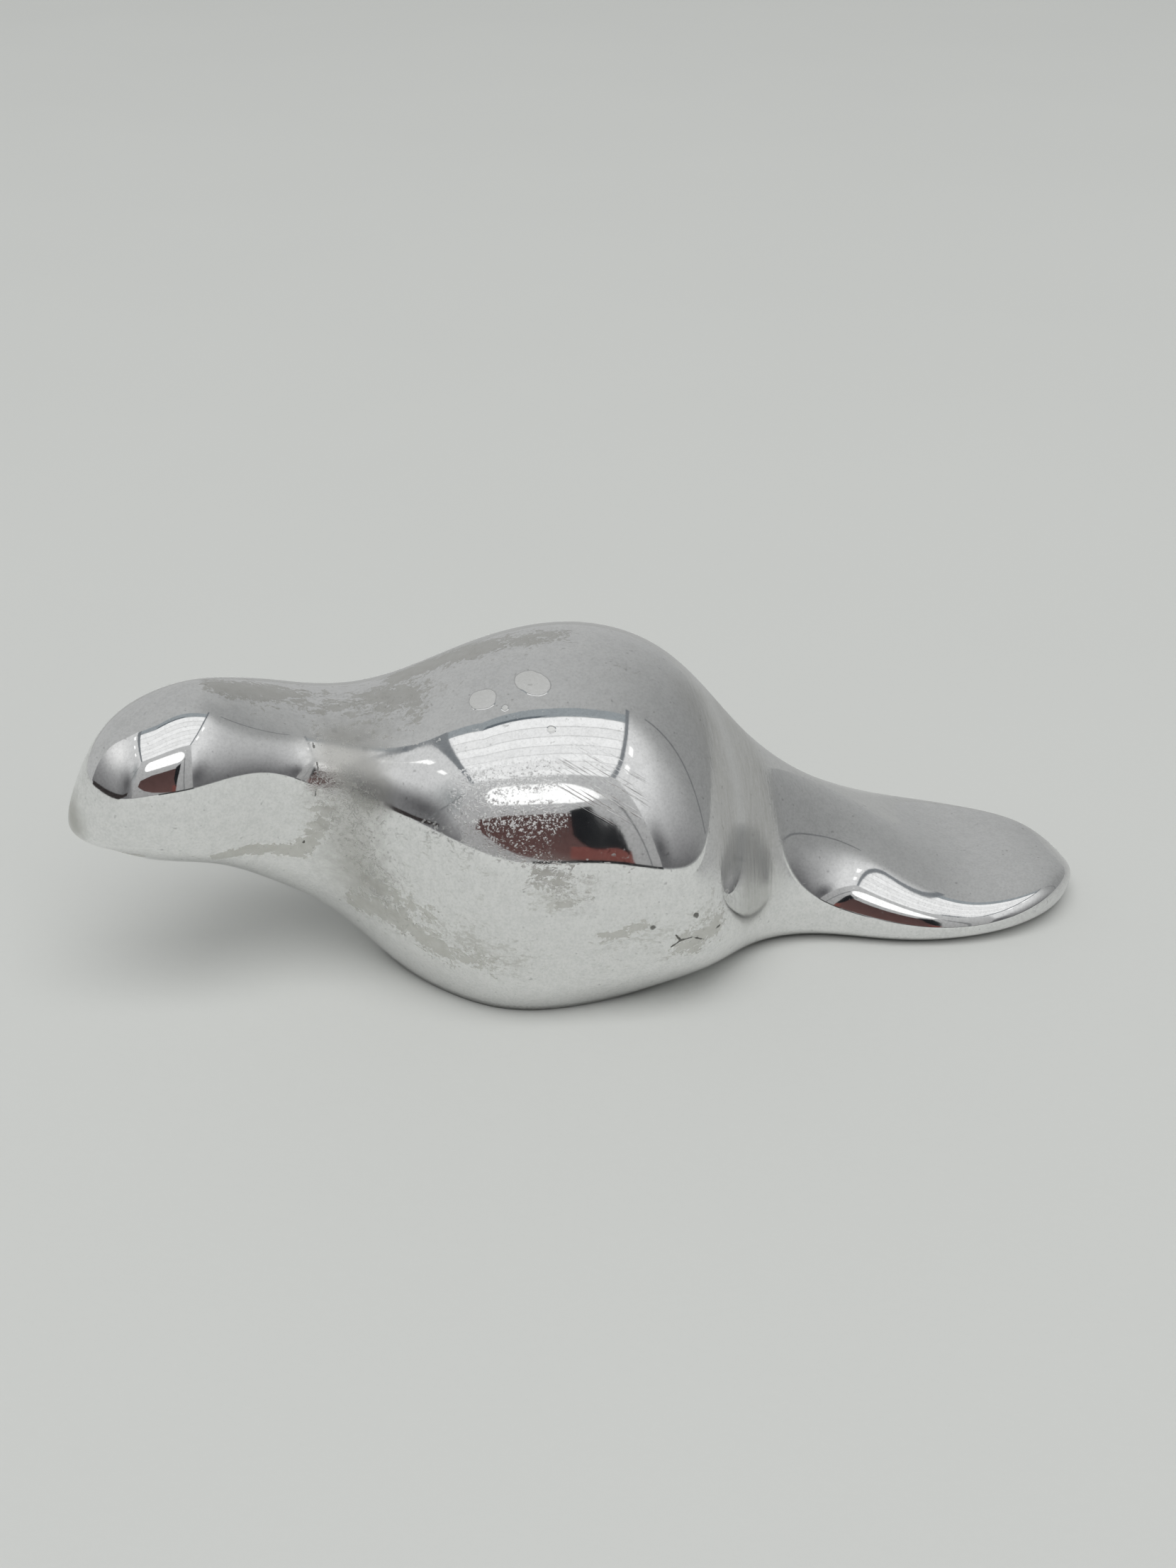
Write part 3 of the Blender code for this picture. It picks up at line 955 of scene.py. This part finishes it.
def add_chip(chips, chip, thickness):
    """Adds one thin ragged chip that lies on the metal at one end and curls up at the other."""
    centre, tailwards, roundwards, outwards = surface_frame(chip["along"], chip["turn"])
    heading = math.radians(chip["heading"])
    forward = tailwards * math.cos(heading) + roundwards * math.sin(heading)
    sideways = outwards.cross(forward)
    layers = []
    for base in (CHIP_SEAT, CHIP_SEAT + thickness):
        rings = [[chips.verts.new(centre + outwards * (base + chip["rise"] * CHIP_MIDDLE))]]
        for share in CHIP_RINGS:
            ring = []
            for step in range(CHIP_POINTS):
                angle = math.tau * step / CHIP_POINTS
                spot = Vector((chip["along"] * CHIP_SPREAD, step * CHIP_RAGGEDNESS, chip["turn"]))
                ragged = CHIP_FULLNESS + CHIP_VARIATION * noise.noise(spot)
                reach = chip["size"] * share * ragged
                ahead = reach * math.cos(angle)
                curl = max(0.0, ahead / chip["size"] + CHIP_HINGE) ** 2 * chip["rise"]
                point = centre + forward * ahead + sideways * (reach * math.sin(angle) * CHIP_WIDTH)
                ring.append(chips.verts.new(point + outwards * (base + curl)))
            rings.append(ring)
        layers.append(rings)
    lower, upper = layers
    for step in range(CHIP_POINTS):
        after = (step + 1) % CHIP_POINTS
        chips.faces.new((upper[0][0], upper[1][step], upper[1][after]))
        chips.faces.new((upper[1][step], upper[2][step], upper[2][after], upper[1][after]))
        chips.faces.new((lower[0][0], lower[1][after], lower[1][step]))
        chips.faces.new((lower[1][after], lower[2][after], lower[2][step], lower[1][step]))
        chips.faces.new((upper[2][step], lower[2][step], lower[2][after], upper[2][after]))


class ORNAMENT_OT_lifted_chips(bpy.types.Operator):
    """Builds the chips of lacquer that stand up at the edges of the worn places"""

    bl_idname = "ornament.lifted_chips"
    bl_label = "Lifted chips"

    def execute(self, context):
        settings = context.scene.ornament_film
        chips = bmesh.new()
        for chip in CHIPS:
            add_chip(chips, chip, settings.chip_thickness)
        mesh = finished_mesh("lifted_chips", chips)
        piece = add_object("lifted_chips", mesh, lifted_lacquer(settings))
        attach(piece, "root")
        return {"FINISHED"}


def in_room(side, front, height):
    """A place in the studio, turned about the ornament."""
    return Matrix.Rotation(ROOM_TURN, 3, "Z") @ Vector((side, -front, height))


def only_polish(panel):
    """Leaves a studio panel to the reflections alone."""
    panel.visible_camera = False
    panel.visible_diffuse = False
    panel.visible_transmission = False
    panel.visible_shadow = False


def add_sheet(name, corners, material):
    """A flat sheet through the given corners."""
    mesh = bpy.data.meshes.new(name)
    mesh.from_pydata(corners, [], [range(len(corners))])
    return add_object(name, mesh, material)


def add_panel(name, corners, material):
    """A studio panel that only the polish sees."""
    only_polish(add_sheet(name, [in_room(*corner) for corner in corners], material))


def level(left, right, near, far, height):
    """Corners of a level rectangle."""
    return [(left, near, height), (right, near, height), (right, far, height), (left, far, height)]


def facing(left, right, low, high, front):
    """Corners of a panel in front of the ornament."""
    return [(left, front, low), (right, front, low), (right, front, high), (left, front, high)]


def beside(side, back, front, low, high):
    """Corners of a panel at one side of the ornament."""
    return [(side, back, low), (side, front, low), (side, front, high), (side, back, high)]


def rounded_bar(left, right, low, high, front):
    """Corners of a bar with round ends in front of the ornament."""
    radius = (high - low) / 2
    corners = []
    for step in range(BAR_CORNERS):
        angle = math.tau * (step + 0.5) / BAR_CORNERS
        middle = right - radius if math.cos(angle) > 0 else left + radius
        up = low + radius + radius * math.sin(angle)
        corners.append((middle + radius * math.cos(angle), front, up))
    return corners


def slat_line(slat, gap=0.0):
    """The line across the ceiling at which a slat starts."""
    line = []
    for side, back in CEILING_EDGE:
        line.append((side, back + (ROOM_FRONT - back) * slat / CEILING_SLATS + gap, ROOM_HEIGHT))
    return line


class ORNAMENT_OT_stage(bpy.types.Operator):
    """Sets the floor, the studio panels, the lamp and the camera"""

    bl_idname = "ornament.stage"
    bl_label = "Stage"

    def execute(self, context):
        settings = context.scene.ornament_stage
        self.add_floor(settings)
        self.add_surround(settings)
        self.add_ceiling()
        self.add_walls()
        self.add_front()
        self.add_lamp(settings)
        self.add_world(context, settings)
        self.add_camera(context, settings)
        context.scene.view_settings.view_transform = "Standard"
        return {"FINISHED"}

    def add_floor(self, settings):
        half = settings.floor_size / 2
        corners = level(-half, half, -half, half, height=0.0)
        add_sheet("floor", corners, pale_board(settings))

    def add_surround(self, settings):
        globe = bmesh.new()
        bmesh.ops.create_uvsphere(globe, u_segments=48, v_segments=24, radius=SURROUND_RADIUS)
        only_polish(add_object("surround", finished_mesh("surround", globe), surround_tone(settings)))
        # The floor_shade sheet is a painted shadow on the floor behind the ornament, seen only in the
        # polish
        corners = level(left=-2.0, right=2.0, near=-0.2, far=3.0, height=0.0004)
        only_polish(add_sheet("floor_shade", corners, shade_tone(settings)))

    def add_ceiling(self):
        tones = [glowing("ceiling_bright"), glowing("ceiling_dim")]
        for slat in range(CEILING_SLATS):
            corners = slat_line(slat, SLAT_GAP) + slat_line(slat + 1)[::-1]
            add_panel(f"ceiling_slat_{slat}", corners, tones[slat % 2])
        edge = slat_line(0) + slat_line(0, -CEILING_EDGE_WIDTH)[::-1]
        add_panel("ceiling_edge", edge, glowing("ceiling_edge"))
        below = ROOM_HEIGHT - LAYER / 2
        line = [(side, front, below) for side, front in DARK_LINE]
        add_panel("ceiling_line", line, glowing("ceiling_line"))
        seam = glowing("seam")
        inner = ROOM_LEFT + SEAM_LEFT
        add_panel("seam_left", level(ROOM_LEFT, inner, ROOM_BACK, ROOM_FRONT, below), seam)
        inner = ROOM_RIGHT - SEAM_RIGHT
        add_panel("seam_right", level(ROOM_RIGHT, inner, ROOM_BACK, ROOM_FRONT, below), seam)

    def add_walls(self):
        dark = (0.11, 0.11, 0.115)
        grey = (0.30, 0.315, 0.32)
        dim = (0.40, 0.405, 0.405)
        pale = (0.90, 0.90, 0.90)
        spots = [
            {"centre": (ROOM_LEFT, 0.30, 1.05), "reach": 0.80, "colour": pale},
            {"centre": (ROOM_LEFT, 1.85, 1.15), "reach": 0.75, "colour": grey},
            {"centre": (ROOM_LEFT, 1.35, 0.45), "reach": 0.75, "colour": dark},
        ]
        low = (0.16, 0.16, 0.165)
        high = (0.68, 0.685, 0.69)
        left = shaded("wall_left", low, high, rise=1.2, spots=spots)
        corners = beside(ROOM_LEFT, back=-0.05, front=ROOM_FRONT, low=0.03, high=ROOM_HEIGHT)
        add_panel("wall_left", corners, left)
        spots = [
            {"centre": (ROOM_RIGHT, -0.10, 1.00), "reach": 1.36, "colour": dim},
            {"centre": (ROOM_RIGHT, 1.88, 0.36), "reach": 0.72, "colour": dark},
        ]
        low = (0.12, 0.12, 0.125)
        high = (0.78, 0.785, 0.79)
        right = shaded("wall_right", low, high, rise=1.3, spots=spots, fade=0.60)
        corners = beside(ROOM_RIGHT, back=ROOM_BACK, front=ROOM_FRONT, low=0.03, high=ROOM_HEIGHT)
        add_panel("wall_right", corners, right)
        inside_left = ROOM_LEFT + LAYER
        inside_right = ROOM_RIGHT - LAYER
        lamp = glowing("wall_lamp")
        for number, front in enumerate(WALL_LAMPS_LEFT):
            top = 1.93 - 0.20 * front
            corners = beside(inside_left, front - 0.09, front + 0.09, low=top - 0.08, high=top)
            add_panel(f"wall_lamp_left_{number}", corners, lamp)
        for number, front in enumerate(WALL_LAMPS_RIGHT):
            corners = beside(inside_right, front - 0.11, front + 0.11, low=1.74, high=1.86)
            add_panel(f"wall_lamp_right_{number}", corners, lamp)
        skirting = [(inside_left, front, up) for front, up in SKIRTING]
        add_panel("skirting_left", skirting, glowing("skirting"))
        post = glowing("wall_post")
        add_panel("post_left", [(inside_left, front, up) for front, up in POST_LEFT], post)
        corners = beside(inside_right, back=-0.015, front=0.015, low=0.05, high=1.50)
        add_panel("post_back", corners, post)

    def add_front(self):
        pale = shaded("front_wall", (0.34, 0.34, 0.34), (0.54, 0.545, 0.55), rise=ROOM_HEIGHT)
        corners = facing(ROOM_LEFT, ROOM_RIGHT, low=0.02, high=ROOM_HEIGHT, front=ROOM_FRONT)
        add_panel("front_wall", corners, pale)
        near = ROOM_FRONT - LAYER
        nearer = ROOM_FRONT - 2 * LAYER
        corners = rounded_bar(left=-0.93, right=0.86, low=1.17, high=1.70, front=near)
        add_panel("lamp_bar", corners, glowing("lamp_bar"))
        warm = shaded("warm_board", (0.115, 0.062, 0.058), (0.03, 0.02, 0.02), rise=ROOM_HEIGHT)
        add_panel("warm_board", [(side, near, up) for side, up in WARM_BOARD], warm)
        red = [(side, near - LAYER / 2, up) for side, up in RED_BOARD]
        add_panel("red_board", red, glowing("red_board"))
        black = glowing("black_board")
        add_panel("black_board", [(side, nearer, up) for side, up in BLACK_BOARD], black)
        corners = facing(left=0.05, right=ROOM_RIGHT, low=0.0, high=0.05, front=nearer)
        add_panel("front_line", corners, black)
        corners = facing(left=0.85, right=0.875, low=0.0, high=1.30, front=nearer)
        add_panel("post_right", corners, glowing("front_post"))

    def add_lamp(self, settings):
        lamp = bpy.data.lights.new("soft_overhead", "AREA")
        lamp.shape = "SQUARE"
        lamp.size = settings.lamp_size
        lamp.energy = settings.lamp_power
        piece = bpy.data.objects.new("soft_overhead", lamp)
        piece.location = (-settings.lamp_left, -settings.lamp_front, settings.lamp_height)
        piece.rotation_euler = (-piece.location).to_track_quat("-Z", "Y").to_euler()
        piece.visible_glossy = False
        piece.visible_camera = False
        bpy.context.scene.collection.objects.link(piece)

    def add_world(self, context, settings):
        bench = Bench(bpy.data.worlds.new("studio"))
        way = bench.add("ShaderNodeTexCoord", out="Generated")
        share = (bench.height(way) * WORLD_RISE).clamped()
        colour = bench.blend(share, rgba(settings.world_low), rgba(settings.world_high))
        shader = bench.add("ShaderNodeBackground", None, {"Color": colour})
        context.scene.world = bench.finish(shader, "ShaderNodeOutputWorld")

    def add_camera(self, context, settings):
        camera = bpy.data.cameras.new("camera")
        camera.lens = settings.lens
        camera.sensor_width = SENSOR_WIDTH
        camera.clip_start = CLIP_START
        piece = bpy.data.objects.new("camera", camera)
        azimuth = settings.camera_azimuth
        elevation = settings.camera_elevation
        reach = math.cos(elevation)
        back = Vector((math.sin(azimuth) * reach, -math.cos(azimuth) * reach, math.sin(elevation)))
        piece.location = Vector(settings.camera_target) + back * settings.camera_distance
        piece.rotation_euler = (-back).to_track_quat("-Z", "Y").to_euler()
        context.scene.collection.objects.link(piece)
        context.scene.camera = piece


class ORNAMENT_PT_build(bpy.types.Panel):
    """Lists the ornament's operators and settings"""

    bl_idname = "ORNAMENT_PT_build"
    bl_label = "Beaver Ornament"
    bl_space_type = "VIEW_3D"
    bl_region_type = "UI"
    bl_category = "Ornament"

    def draw(self, context):
        for operator in OPERATORS:
            self.layout.operator(operator.bl_idname)
        for name in SETTINGS:
            settings = getattr(context.scene, name)
            box = self.layout.box()
            for field in settings.__annotations__:
                box.prop(settings, field)


SETTINGS = {
    "ornament_casting": CastingSettings,
    "ornament_film": FilmSettings,
    "ornament_stage": StageSettings,
}
OPERATORS = (ORNAMENT_OT_casting, ORNAMENT_OT_lacquer_film, ORNAMENT_OT_lifted_chips, ORNAMENT_OT_stage)
CLASSES = (*SETTINGS.values(), *OPERATORS, ORNAMENT_PT_build)


def register():
    for kind in CLASSES:
        bpy.utils.register_class(kind)
    for name, kind in SETTINGS.items():
        setattr(bpy.types.Scene, name, PointerProperty(type=kind))


def unregister():
    for name in SETTINGS:
        delattr(bpy.types.Scene, name)
    for kind in reversed(CLASSES):
        bpy.utils.unregister_class(kind)


def main():
    register()
    bpy.ops.ornament.casting()
    bpy.ops.ornament.lacquer_film()
    bpy.ops.ornament.lifted_chips()
    bpy.ops.ornament.stage()


if __name__ == "__main__":
    main()
